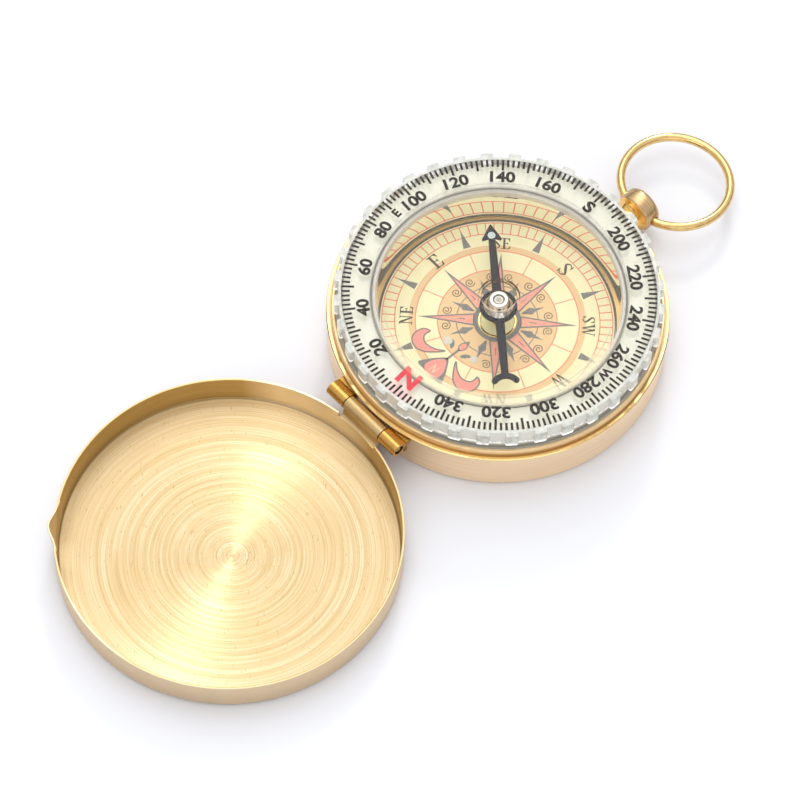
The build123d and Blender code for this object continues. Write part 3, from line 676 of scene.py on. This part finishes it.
# ---------------------------------------- materials of the CAD nodes
satin_case = case_brass()
polished = brass("polished_brass", (0.90, 0.66, 0.30), 0.13, 0.25, CASE_AXIS, "Z", 6.0, 0.3)
collar_brass = brass("collar_brass", (0.90, 0.67, 0.39), 0.40, 0.25, CASE_AXIS, "Z", 6.0, 0.3)
plate_brass = brass("plate_brass", (0.60, 0.42, 0.20), 0.35, 0.5)
hinge_axis = (HINGE_CENTRE, "Y")
knuckle_matt = brass("knuckle_matt_brass", (0.66, 0.475, 0.235), 0.42, 0.5, *hinge_axis, 4.0, 1.0)
# its last value sets the radius of the painted shade in the bore
knuckle_bright = brass("knuckle_bright_brass", (0.68, 0.38, 0.10), 0.25, 0.45, *hinge_axis, 5.0, 0.9, 0.74)
steel = metal("pin_steel", (0.62, 0.61, 0.58), 0.3)

node_materials = {
    "base_case": satin_case,
    "case_collar": collar_brass,
    "base_pad": plastic("base_felt", (0.10, 0.10, 0.09), 0.95, 6.0),
    "capsule_housing": plastic("housing_moulding", (0.58, 0.56, 0.50), 0.5),
    "dial_plate": plate_brass,
    "dial_card": dial_paper(),
    "hub_ferrule": polished,
    "hub_disc": plastic("hub_luminous", (0.97, 0.93, 0.52), 0.6, 5.0, 0.2),
    "pivot_post": plate_brass,
    "pivot_pin": steel,
    "window": clear_window(),
    "bezel_friction_ring": plastic("friction_rubber", (0.36, 0.35, 0.31), 0.7, 5.0),
    "bezel_ring": clear_bezel(),
    "needle": plastic("needle_black", (0.014, 0.013, 0.013), 0.42, 4.0, 0.3),
    "needle_cap": nickel_cap(),
    "needle_jewel": plastic("jewel_red", (0.55, 0.08, 0.10), 0.15),
    "needle_luminous_dot": plastic("needle_luminous", (0.62, 0.68, 0.68), 0.6, 5.0),
    "lid": lid_brass(),
    "lid_hinge_leaf": knuckle_matt,
    "case_hinge_leaf": knuckle_bright,
    "hinge_pin": metal("pin_plated", (0.52, 0.38, 0.17), 0.35),
    "crown": crown_brass(),
    "crown_screw": steel,
    "bow_ring": metal("bow_brass", (0.87, 0.60, 0.25), 0.14, 1.2),
}
for node_name, material in node_materials.items():
    for material_slot in nodes[node_name].material_slots:
        material_slot.material = material


def soften(name, width):
    """Rounds a CAD node's sharp edges a little, so that they catch the light."""
    weld = nodes[name].modifiers.new("weld", "WELD")
    weld.merge_threshold = 0.001 * MM
    bevel = nodes[name].modifiers.new("rounding", "BEVEL")
    bevel.width = width * MM
    bevel.segments = 2
    bevel.limit_method = "ANGLE"
    bevel.angle_limit = math.radians(35)
    bevel.harden_normals = True


for node_name, width in (("lid", 0.08), ("case_collar", 0.08), ("crown", 0.06)):
    soften(node_name, width)

# ---------------------------------------- capsule wall and scale ring
wall_build = bmesh.new()
lathe(
    wall_build,
    [
        (PLATE_R, WALL_FOOT),
        (WALL_R, WALL_FOOT),
        (WALL_R, WALL_TOP - 0.04 * MM),
        (PLATE_R + 0.1 * MM, WALL_TOP - 0.04 * MM),
        (PLATE_R, WALL_TOP - 0.14 * MM),
    ],
)
wall_mesh = mesh_from(wall_build, "capsule_wall_clear")
shade(wall_mesh)
wall_piece = add_piece("capsule_wall_clear", wall_mesh, "case", mirror_wall())
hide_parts("capsule_wall")

scale_build = bmesh.new()
RING_INNER = 17.9 * MM
RING_SHEET = 0.28 * MM
RING_GAP = 0.06 * MM
lathe(
    scale_build,
    [
        (RING_INNER, SCALE_TOP - RING_GAP - RING_SHEET),
        (SCALE_R - RING_SHEET, SCALE_TOP - RING_GAP - RING_SHEET),
        (SCALE_R - RING_SHEET, SCALE_FOOT),
        (SCALE_R - RING_GAP, SCALE_FOOT),
        (SCALE_R - RING_GAP, SCALE_TOP - 0.2 * MM),
        (SCALE_R - 0.2 * MM, SCALE_TOP - RING_GAP),
        (RING_INNER + 0.1 * MM, SCALE_TOP - RING_GAP),
        (RING_INNER, SCALE_TOP - 0.15 * MM),
    ],
)
scale_mesh = mesh_from(scale_build, "bezel_scale_plate")
shade(scale_mesh)
scale_piece = add_piece("bezel_scale_plate", scale_mesh, "bezel", silvered())
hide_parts("bezel_scale_ring")


# ---------------------------------------- bezel print
def bezel_azimuth(bearing):
    """The azimuth at which a bearing is printed on the bezel."""
    return BEZEL_NORTH - bearing


def text_mesh(body, height, weight, stretch):
    """A word as a flat mesh: its capitals are height tall and it is centred on the origin."""
    curve = bpy.data.curves.new("word", "FONT")
    curve.body = body
    curve.size = 1.0
    curve.offset = weight
    curve.extrude = 0.01
    curve.resolution_u = 4
    holder = bpy.data.objects.new("word", curve)
    bpy.context.scene.collection.objects.link(holder)
    bpy.context.view_layer.update()
    mesh = bpy.data.meshes.new_from_object(holder.evaluated_get(bpy.context.evaluated_depsgraph_get()))
    bpy.data.objects.remove(holder)
    bpy.data.curves.remove(curve)
    xs = [v.co.x for v in mesh.vertices]
    ys = [v.co.y for v in mesh.vertices]
    scale = height / (max(ys) - min(ys))
    middle = Vector(((min(xs) + max(xs)) / 2, (min(ys) + max(ys)) / 2, 0))
    mesh.transform(Matrix.Diagonal((scale * stretch, scale, INK / 0.02, 1)) @ Matrix.Translation(-middle))
    return mesh


def add_word(build, body, height, radius, degrees, top, weight=0.036, stretch=1.13):
    """Adds a word to a bmesh, with the tops of its letters outwards and its face just under top."""
    mesh = text_mesh(body, height, weight, stretch)
    upright = Matrix.Rotation(math.radians(degrees - 90), 4, "Z")
    mesh.transform(Matrix.Translation(polar(radius, degrees, top - INK)) @ upright)
    build.from_mesh(mesh)
    bpy.data.meshes.remove(mesh)


bezel_ink = ink("bezel_brown_ink", (0.022, 0.013, 0.01), 0.02, 0.5)
north_ink = ink("bezel_red_ink", (0.78, 0.045, 0.07), 0.06, 0.4)
PRINT_TOP = BEZEL_TOP - PRINT_DEPTH
TICK_OUT = 21.9 * MM
TICK_SHORT = 20.72 * MM
TICK_LONG = 20.12 * MM
TICK_WIDTH = 0.34 * MM

tick_outlines = []
for bearing in range(0, 360, 2):
    inner = TICK_LONG if bearing % 10 == 0 else TICK_SHORT
    tick_outlines.append(radial_line(inner, TICK_OUT, bezel_azimuth(bearing), TICK_WIDTH))
on_bezel = ("bezel", "silvered_scale", PRINT_TOP)
bezel_print = [print_piece("bezel_degree_ticks", 0, bezel_ink, tick_outlines, place=on_bezel)]

NUMBER_R = 19.05 * MM
NUMBER_HEIGHT = 1.84 * MM
CARDINAL_R = 19.2 * MM
CARDINAL_HEIGHT = 1.42 * MM
NORTH_R = 18.7 * MM
NORTH_HEIGHT = 2.85 * MM
BOLD = 0.045  # how far the bold letters' outlines are pushed out
number_build = bmesh.new()
for bearing in range(20, 360, 20):
    if bearing % 180:
        add_word(number_build, str(bearing), NUMBER_HEIGHT, NUMBER_R, bezel_azimuth(bearing), PRINT_TOP)
add_word(number_build, "S", NUMBER_HEIGHT * 1.08, NUMBER_R, bezel_azimuth(180), PRINT_TOP, BOLD)
for letter, bearing in (("E", 90), ("W", 270)):
    place = (CARDINAL_R, bezel_azimuth(bearing), PRINT_TOP)
    add_word(number_build, letter, CARDINAL_HEIGHT, *place, BOLD, 0.95)

north_build = bmesh.new()
add_word(north_build, "N", NORTH_HEIGHT, NORTH_R, BEZEL_NORTH, PRINT_TOP, BOLD, 1.1)
for name, build, colour in (
    ("bezel_numbers", number_build, bezel_ink),
    ("bezel_north_letter", north_build, north_ink),
):
    mesh = bpy.data.meshes.new(name)
    build.to_mesh(mesh)
    build.free()
    bezel_print.append(add_piece(name, mesh, "bezel", colour))
for piece in bezel_print:  # thin print lays no shadow on the silvered plate
    piece.visible_shadow = False
    piece.visible_diffuse = False


# ---------------------------------------- dial artwork
def dial_azimuth(bearing):
    """The azimuth at which a bearing lies on the dial."""
    return DIAL_NORTH - bearing


def dial_point(along, across, bearing=0.0):
    """A point given in millimetres along a bearing and across it, to the clockwise side."""
    out = polar(1, dial_azimuth(bearing))
    side = polar(1, dial_azimuth(bearing) - 90)
    return (out * along + side * across) * MM


tan_ink = ink("dial_tan_ink", (0.88, 0.62, 0.33), 0.12)
red_ink = ink("dial_red_ink", (0.90, 0.20, 0.12), 0.12)
pink_ink = ink("dial_pink_ink", (0.95, 0.36, 0.30), 0.12)
grey_ink = ink("dial_grey_ink", (0.24, 0.235, 0.215), 0.14)
# dark ink for the painted shade at the card's edge
edge_shade_ink = ink("dial_edge_shade_ink", (0.15, 0.13, 0.10), 0.1)
dark_ink = ink("dial_dark_ink", (0.12, 0.105, 0.08), 0.05)

ROSE_R = 8.4 * MM
HUB_RING_IN = 2.78 * MM
HUB_RING_OUT = 3.4 * MM
BAND_IN = 11.5 * MM
BAND_OUT = 12.45 * MM
SCALE_IN = 14.4 * MM
SCALE_OUT = 16.2 * MM
LINE = 0.12 * MM

tan_rings = [(HUB_RING_IN, ROSE_R), (BAND_IN, BAND_OUT)]
print_piece("dial_tan_bands", 1, tan_ink, rings=tan_rings)

red_rings = [circle_line(radius, LINE) for radius in (ROSE_R, BAND_IN, SCALE_IN, SCALE_OUT)]
red_outlines = [radial_line(ROSE_R, BAND_IN, dial_azimuth(22.5 + 45 * i), 0.11 * MM) for i in range(8)]
red_outlines += [radial_line(SCALE_IN, SCALE_OUT, dial_azimuth(4.5 * i), 0.13 * MM) for i in range(80)]
print_piece("dial_red_lines", 2, red_ink, red_outlines, red_rings)

# painted shade: a dark ring at the card's edge, where it meets the wall
edge_shade_rings = [(CARD_R - 0.35 * MM, CARD_R)]
print_piece("dial_edge_shade", 1, edge_shade_ink, rings=edge_shade_rings)

RAY_BEARINGS = [45 * i for i in range(1, 8)]  # north has the lily in place of a ray
RAY_TIP = 11.2
RAY_ROOT = 3.3


def ray_outline(tip, root, half_width, bearing):
    """A long triangle from the hub towards a bearing."""
    corners = ((root, -half_width), (tip, 0), (root, half_width))
    return [dial_point(u, v, bearing) for u, v in corners]


SCROLL_STEPS = 44
SCROLL_TURN = 600  # degrees


def spiral(bearing):
    """One of the small scrolls beside a ray."""
    centre = dial_point(7.3, 0, bearing)
    start = dial_azimuth(bearing)
    shares = [i / SCROLL_STEPS for i in range(SCROLL_STEPS + 1)]
    return [centre + polar((0.10 + 0.62 * k) * MM, start + SCROLL_TURN * k) for k in shares]


def leaf_outline(bearing):
    """A grey leaf between two rays, with a fine tip outwards."""
    one_side = [(3.6, 0.1), (4.3, 0.3), (5.0, 0.6), (5.6, 0.24)]
    points = [*one_side, (7.1, 0.0), *((u, -v) for u, v in reversed(one_side))]
    return [dial_point(u, v, bearing) for u, v in points]


print_piece("dial_rose_circle", 2, grey_ink, rings=[circle_line(5.75 * MM, 0.13 * MM)])

grey_outlines = [ray_outline(RAY_TIP, RAY_ROOT, 1.0, bearing) for bearing in RAY_BEARINGS]
scroll_bearings = [bearing + side for bearing in RAY_BEARINGS for side in (-10, 10)]
scroll_strips = [ribbon(spiral(bearing), LINE) for bearing in scroll_bearings]
print_piece("dial_rose_scrolls", 3, dark_ink, strips=scroll_strips)
for i in range(8):
    bearing = 22.5 + 45 * i
    grey_outlines.append(leaf_outline(bearing))
    grey_outlines.append([dial_point(u, v, bearing) for u, v in ((12.65, -0.55), (15.6, 0), (12.65, 0.55))])
print_piece("dial_rose_grey", 3, grey_ink, grey_outlines, [(HUB_RING_IN, HUB_RING_OUT)])

pink_outlines = [ray_outline(9.5, RAY_ROOT + 0.1, 0.76, bearing) for bearing in RAY_BEARINGS]
print_piece("dial_rose_pink", 4, ray_ink(), pink_outlines)

slit_outlines = [
    [dial_point(u, v, bearing) for u, v in ((4.5, -0.07), (5.6, -0.05), (5.6, 0.05), (4.5, 0.07))]
    for bearing in RAY_BEARINGS
]
print_piece("dial_rose_slits", 5, grey_ink, slit_outlines)

# The lily at north: a fan on a stem, two curled petals, a bud and two crescents.
# The fan's and the bud's outlines give the line's own points and one side, which is mirrored.
FAN = [(9.3, 0), (10.3, 1.0), (11.4, 1.75), (12.75, 2.35), (12.95, 1.2), (13.0, 0)]
FAN_FILL = [(9.7, 0), (10.6, 0.9), (11.6, 1.35), (12.5, 1.3), (12.95, 0.6)]
BUD = [(5.2, 0), (6.0, 0.45), (6.5, 0.58), (7.1, 0.35), (7.35, 0)]
BUD_FILL = [(5.75, 0), (6.15, 0.35), (6.5, 0.42), (6.95, 0.25), (7.1, 0)]
PETAL_OUTER = [(8.8, 1.15), (9.9, 1.9), (11.1, 3.1), (11.5, 4.5), (10.9, 5.75), (9.7, 6.15), (8.6, 5.8)]
PETAL_INNER = [(8.2, 4.95), (8.8, 5.0), (9.45, 4.85), (9.95, 4.1), (9.95, 3.2), (9.5, 2.1)]
PETAL = PETAL_OUTER + PETAL_INNER
CRESCENT = [(7.9, 0.9), (7.3, 0.95), (6.75, 1.5), (6.8, 2.2), (7.15, 1.75), (7.6, 1.5)]


def mirrored(points):
    """An outline whose other side, off the north line, is the mirror image of this one."""
    return points + [(u, -v) for u, v in reversed(points) if v]


def lily(points, side=1):
    """A smooth outline about the north line, on one side of it."""
    return smooth([dial_point(u, v * side) for u, v in points], steps=5)


stem = [dial_point(u, v) for u, v in ((7.2, -0.16), (9.6, -0.16), (9.6, 0.16), (7.2, 0.16))]
lily_grey = [lily(mirrored(FAN)), lily(mirrored(BUD)), stem]
lily_pink = [lily(mirrored(FAN_FILL)), lily(mirrored(BUD_FILL))]
lily_lines = []
for side in (-1, 1):
    lily_grey.append(lily(CRESCENT, side))
    lily_lines.append(ribbon(lily(PETAL, side), 0.2 * MM, closed=True))
    lily_pink.append(lily(PETAL, side))
print_piece("dial_lily_grey", 4, grey_ink, lily_grey)
print_piece("dial_lily_pink", 5, pink_ink, lily_pink)
print_piece("dial_lily_lines", 6, grey_ink, strips=lily_lines)

# Serif capitals, drawn in a box one unit high.
S_SPINE = [(0.56, 0.80), (0.35, 0.965), (0.13, 0.78), (0.33, 0.52), (0.55, 0.24), (0.31, 0.035), (0.08, 0.22)]
S_WIDTHS = [0.05, 0.06, 0.12, 0.17, 0.12, 0.06, 0.05]
SERIF_STEPS = 6


def box_outline(x0, y0, x1, y1):
    return [(x0, y0), (x1, y0), (x1, y1), (x0, y1)]


def s_outlines():
    """The letter S as a ribbon that swells in the middle, with a serif at each end."""
    spine = smooth(S_SPINE, closed=False, steps=SERIF_STEPS)
    widths = []
    for i in range(len(S_WIDTHS) - 1):
        for k in range(SERIF_STEPS):
            share = k / SERIF_STEPS
            widths.append(S_WIDTHS[i] * (1 - share) + S_WIDTHS[i + 1] * share)
    widths.append(S_WIDTHS[-1])
    sides = ribbon(spine, widths)[0]
    outline = [side[0] for side in sides] + [side[1] for side in reversed(sides)]
    return [outline, box_outline(0.54, 0.68, 0.60, 0.98), box_outline(0.04, 0.02, 0.10, 0.32)]


E_OUTLINES = [
    box_outline(0.14, 0.0, 0.30, 1.0),
    box_outline(0.0, 0.0, 0.66, 0.06),
    box_outline(0.0, 0.94, 0.62, 1.0),
    [(0.54, 0.06), (0.66, 0.0), (0.72, 0.28), (0.68, 0.28)],
    [(0.50, 0.94), (0.64, 0.72), (0.67, 0.72), (0.66, 1.0)],
    box_outline(0.30, 0.48, 0.50, 0.54),
    box_outline(0.48, 0.38, 0.53, 0.64),
]
N_OUTLINES = [
    box_outline(0.13, 0.0, 0.20, 1.0),
    box_outline(0.66, 0.0, 0.73, 1.0),
    [(0.06, 1.0), (0.27, 1.0), (0.73, 0.0), (0.62, 0.0)],
    box_outline(0.02, 0.0, 0.31, 0.05),
    box_outline(0.55, 0.95, 0.84, 1.0),
    box_outline(0.0, 0.95, 0.2, 1.0),
]
W_OUTLINES = [
    [(0.07, 1.0), (0.25, 1.0), (0.44, 0.0), (0.37, 0.0)],
    [(0.37, 0.0), (0.44, 0.0), (0.60, 1.0), (0.54, 1.0)],
    [(0.44, 1.0), (0.62, 1.0), (0.80, 0.0), (0.73, 0.0)],
    [(0.73, 0.0), (0.80, 0.0), (1.02, 1.0), (0.96, 1.0)],
    box_outline(0.0, 0.95, 0.32, 1.0),
    box_outline(0.86, 0.95, 1.12, 1.0),
]
SERIF_LETTERS = {  # each letter's width and outlines
    "E": (0.74, E_OUTLINES),
    "N": (0.86, N_OUTLINES),
    "S": (0.64, s_outlines()),
    "W": (1.14, W_OUTLINES),
}


def dial_word(word, bearing, foot, height):
    """A word in serif capitals on the dial, its tops outwards, from the radius foot."""
    gap = 0.06
    total = sum(SERIF_LETTERS[c][0] for c in word) + gap * (len(word) - 1)
    across = -total / 2
    made = []
    for c in word:
        width, outlines = SERIF_LETTERS[c]
        for outline in outlines:
            made.append([dial_point(foot + y * height, (across + x) * height, bearing) for x, y in outline])
        across += width + gap
    return made


letter_outlines = []
for i, word in enumerate(("N", "NE", "E", "SE", "S", "SW", "W", "NW")):
    if word == "N":
        north_outlines = dial_word(word, 0, 11.2, 1.35)
    elif len(word) == 1:
        letter_outlines += dial_word(word, 45 * i, 11.8, 2.3)
    else:
        letter_outlines += dial_word(word, 45 * i, 11.9, 1.8)
print_piece("dial_letters", 5, dark_ink, letter_outlines)
pale_ink = ink("dial_pale_ink", (0.97, 0.72, 0.50), 0.2)
print_piece("dial_north_letter", 6, pale_ink, north_outlines)

# Two dabs of pale luminous paint beside the lily's stem.
luminous_paint = plastic("dab_luminous", (0.80, 0.76, 0.62), 0.6, 5.0)
dab_build = bmesh.new()
DAB_STEPS = 28
DAB_FOOT = CARD_TOP + 5 * INK
DAB_PROFILE = [(0.0, 1.0), (0.035, 0.92), (0.06, 0.7), (0.07, 0.4)]  # height and share of the radius
for along, across, radius in ((7.4, 2.15, 0.70), (6.7, -2.5, 0.60)):
    centre = dial_point(along, across)
    loops = []
    for lift, share in DAB_PROFILE:
        turns = [360 * k / DAB_STEPS for k in range(DAB_STEPS)]
        points = [polar(radius * share * MM, turn, DAB_FOOT + lift * MM) for turn in turns]
        loops.append([dab_build.verts.new(centre + point) for point in points])
    for low, high in zip(loops, loops[1:]):
        for k in range(DAB_STEPS):
            m = (k + 1) % DAB_STEPS
            dab_build.faces.new((low[k], low[m], high[m], high[k]))
    dab_build.faces.new(loops[-1])
    dab_build.faces.new(list(reversed(loops[0])))
dab_mesh = mesh_from(dab_build, "dial_luminous_dabs")
shade(dab_mesh, 60)
add_piece("dial_luminous_dabs", dab_mesh, "case", luminous_paint)

# ---------------------------------------- floor, light and camera
def pale_floor():
    """A large pale floor, hardly textured."""
    s = Shader("floor_pale")
    cloud = s.noise(s.position(), 0.01, 2.0)
    tint = s.mix(cloud, (0.82, 0.835, 0.89), (0.84, 0.855, 0.905))
    return s.close(s.principled({"Base Color": tint, "Roughness": 0.7}))


FLOOR_HALF = 3.0
FLOOR_TOP = -0.02 * MM
floor_build = bmesh.new()
floor_corners = [Vector((x, y, 0)) * FLOOR_HALF for x, y in ((-1, -1), (1, -1), (1, 1), (-1, 1))]
floor_build.faces.new([floor_build.verts.new((c.x, c.y, FLOOR_TOP)) for c in floor_corners])
floor_mesh = mesh_from(floor_build, "floor")
floor_mesh.materials.append(pale_floor())
floor = bpy.data.objects.new("floor", floor_mesh)
bpy.context.scene.collection.objects.link(floor)

world = bpy.data.worlds.new("studio")
bpy.context.scene.world = world
world.use_nodes = True
sky = world.node_tree
sky.nodes.clear()
sky_place = sky.nodes.new("ShaderNodeTexCoord")
sky_split = sky.nodes.new("ShaderNodeSeparateXYZ")
sky_ramp = sky.nodes.new("ShaderNodeValToRGB")
sky_light = sky.nodes.new("ShaderNodeBackground")
sky_out = sky.nodes.new("ShaderNodeOutputWorld")
sky.links.new(sky_place.outputs["Generated"], sky_split.inputs[0])
sky.links.new(sky_split.outputs["Z"], sky_ramp.inputs[0])
sky.links.new(sky_ramp.outputs[0], sky_light.inputs[0])
sky.links.new(sky_light.outputs[0], sky_out.inputs[0])
SKY_STOPS = [
    (0.0, (0.06, 0.055, 0.05)),
    (0.1, (0.22, 0.21, 0.20)),
    (0.35, (0.80, 0.80, 0.80)),
    (1.0, (1.0, 1.0, 1.0)),
]
while len(sky_ramp.color_ramp.elements) < len(SKY_STOPS):
    sky_ramp.color_ramp.elements.new(0.5)
for element, (place, colour) in zip(sky_ramp.color_ramp.elements, SKY_STOPS):
    element.position = place
    element.color = (*colour, 1)
sky_light.inputs[1].default_value = 0.98


def softbox(name, azimuth, elevation, distance, width, height, power, colour=(1, 1, 1)):
    """An area light that faces the case from an azimuth and an elevation."""
    data = bpy.data.lights.new(name, "AREA")
    data.shape = "RECTANGLE"
    data.size = width
    data.size_y = height
    data.energy = power
    data.color = colour
    light = bpy.data.objects.new(name, data)
    bpy.context.scene.collection.objects.link(light)
    e = math.radians(elevation)
    back = polar(math.cos(e), azimuth, math.sin(e))
    light.location = Vector((-0.02, 0, 0)) + back * distance
    light.rotation_mode = "QUATERNION"
    light.rotation_quaternion = (-back).to_track_quat("-Z", "Y")
    light.visible_camera = False
    return light


softbox("key_softbox", 52, 57, 1.2, 0.8, 0.8, 3.3)
softbox("back_softbox", 41, 33, 1.2, 0.16, 0.16, 2.2)
softbox("side_softbox", 197, 37, 1.2, 0.6, 0.4, 1.3)
softbox("top_softbox", 90, 84, 1.1, 0.5, 0.5, 1.0)
softbox("fill_softbox", 238, 20, 1.2, 1.1, 0.5, 1.2)

# ---------------------------------------- camera
CAMERA_AZIMUTH = -44.33  # 0 looks along +Y
CAMERA_ELEVATION = 60.28
CAMERA_DISTANCE = 558.5 * MM
CAMERA_TARGET = Vector((-17.05, 1.53, 0)) * MM
CAMERA_ROLL = 1.87
camera_data = bpy.data.cameras.new("camera")
camera_data.lens = 179.9
camera_data.sensor_width = 36.0
camera = bpy.data.objects.new("camera", camera_data)
bpy.context.scene.collection.objects.link(camera)
a, e = math.radians(CAMERA_AZIMUTH), math.radians(CAMERA_ELEVATION)
camera_back = Vector((math.sin(a) * math.cos(e), -math.cos(a) * math.cos(e), math.sin(e)))
camera.location = CAMERA_TARGET + camera_back * CAMERA_DISTANCE
aim = (-camera_back).to_track_quat("-Z", "Y").to_matrix()
roll = Matrix.Rotation(math.radians(CAMERA_ROLL), 3, "Z")
camera.rotation_mode = "QUATERNION"
camera.rotation_quaternion = (aim @ roll).to_quaternion()
bpy.context.scene.camera = camera
bpy.context.scene.view_settings.view_transform = "Standard"
